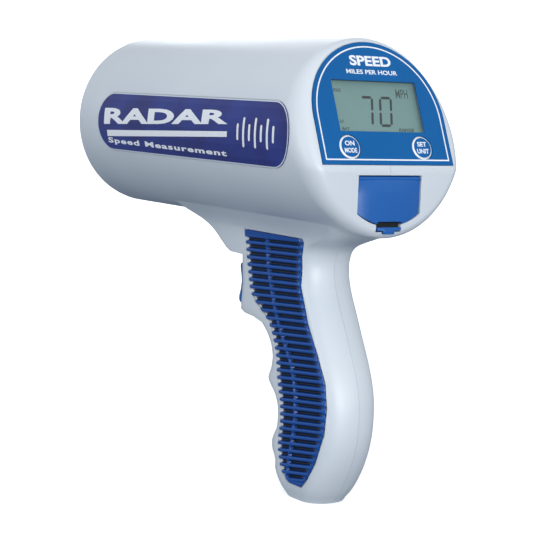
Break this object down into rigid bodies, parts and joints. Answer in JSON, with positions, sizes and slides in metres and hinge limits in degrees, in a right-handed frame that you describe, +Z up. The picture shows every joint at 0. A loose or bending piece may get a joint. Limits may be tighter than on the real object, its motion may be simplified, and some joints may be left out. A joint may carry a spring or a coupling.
{
  "type": "speed radar gun",
  "caption": "Handheld speed radar gun: round barrel with a horn antenna, sloped display panel with two keys, battery door, ribbed pistol grip and sliding trigger.",
  "frame": {"origin": "centre of the flat base of the handle", "axes": "+X forward along the barrel, +Y to the gun's left, +Z up from the handle's base to the barrel"},
  "size_m": [0.2083, 0.0834, 0.2025],
  "materials": {
    "housing": "satin",
    "horn_metal": "satin",
    "cast_alloy": "as cast",
    "circuit_board": "solder mask",
    "dark_plastic": "matte",
    "capacitor": "sleeved",
    "label_blue": "printed overlay",
    "clear_window": "clear",
    "lcd": "reflective liquid crystal",
    "zebra_rubber": "matte",
    "steel": "plated",
    "door_blue": "satin",
    "cell_wrap": "printed sleeve",
    "grip_blue": "gloss",
    "label_navy": "printed label",
    "lead_black": "matte",
    "lead_red": "matte"
  },
  "bodies": {
    "housing": {"housing_left": "housing", "housing_right": "housing", "front_cover": "housing", "horn_antenna": "horn_metal", "microwave_module": "cast_alloy", "main_board": "circuit_board", "processor_chip": "dark_plastic", "signal_chip": "dark_plastic", "power_capacitor": "capacitor", "display_board": "circuit_board", "display_label": "label_blue", "lcd_window": "clear_window", "lcd_panel": "lcd", "lcd_holder": "dark_plastic", "zebra_strip_lower": "zebra_rubber", "zebra_strip_upper": "zebra_rubber", "mode_switch": "steel", "select_switch": "steel", "battery_tray": "dark_plastic", "cell_1": "cell_wrap", "cell_2": "cell_wrap", "cell_3": "cell_wrap", "cell_4": "cell_wrap", "contact_spring_left": "steel", "contact_spring_right": "steel", "trigger_spring": "steel", "trigger_switch": "dark_plastic", "grip_panel_left": "grip_blue", "grip_panel_right": "grip_blue", "side_label_left": "label_navy", "side_label_right": "label_navy", "trigger_lead": "lead_black", "battery_lead": "lead_red", "module_lead": "lead_black", "display_lead": "lead_black", "housing_screw_1": "steel", "housing_screw_2": "steel", "housing_screw_3": "steel", "housing_screw_4": "steel", "housing_screw_5": "steel", "housing_screw_6": "steel"},
    "trigger": {"trigger": "grip_blue", "trigger_switch_plunger": "steel"},
    "mode_key": {"mode_key": "label_blue", "mode_switch_plunger": "dark_plastic"},
    "select_key": {"select_key": "label_blue", "select_switch_plunger": "dark_plastic"},
    "battery_door": {"battery_door": "door_blue", "door_contact": "steel"},
    "door_latch": {"door_latch": "door_blue"}
  },
  "joints": [
    {"name": "trigger_slide", "type": "slide", "parent": "housing", "child": "trigger", "axis": [-1, 0, 0], "range_m": [0, 0.004], "stiffness_N_per_m": 400, "springref_m": -0.006, "deforming": ["trigger_spring"]},
    {"name": "mode_key_press", "type": "slide", "parent": "housing", "child": "mode_key", "axis": [0.9225, 0, -0.3859], "range_m": [0, 0.0005], "stiffness_N_per_m": 900, "springref_m": -0.001},
    {"name": "select_key_press", "type": "slide", "parent": "housing", "child": "select_key", "axis": [0.9225, 0, -0.3859], "range_m": [0, 0.0005], "stiffness_N_per_m": 900, "springref_m": -0.001},
    {"name": "battery_door_hinge", "type": "hinge", "parent": "housing", "child": "battery_door", "pos_m": [-0.0427, 0, 0.1447], "axis": [0, 1, 0], "range_deg": [0, 80]},
    {"name": "door_latch_flex", "type": "hinge", "parent": "battery_door", "child": "door_latch", "pos_m": [-0.039, 0, 0.126], "axis": [0, 1, 0], "range_deg": [0, 8], "stiffness_Nm_per_rad": 0.08}
  ]
}
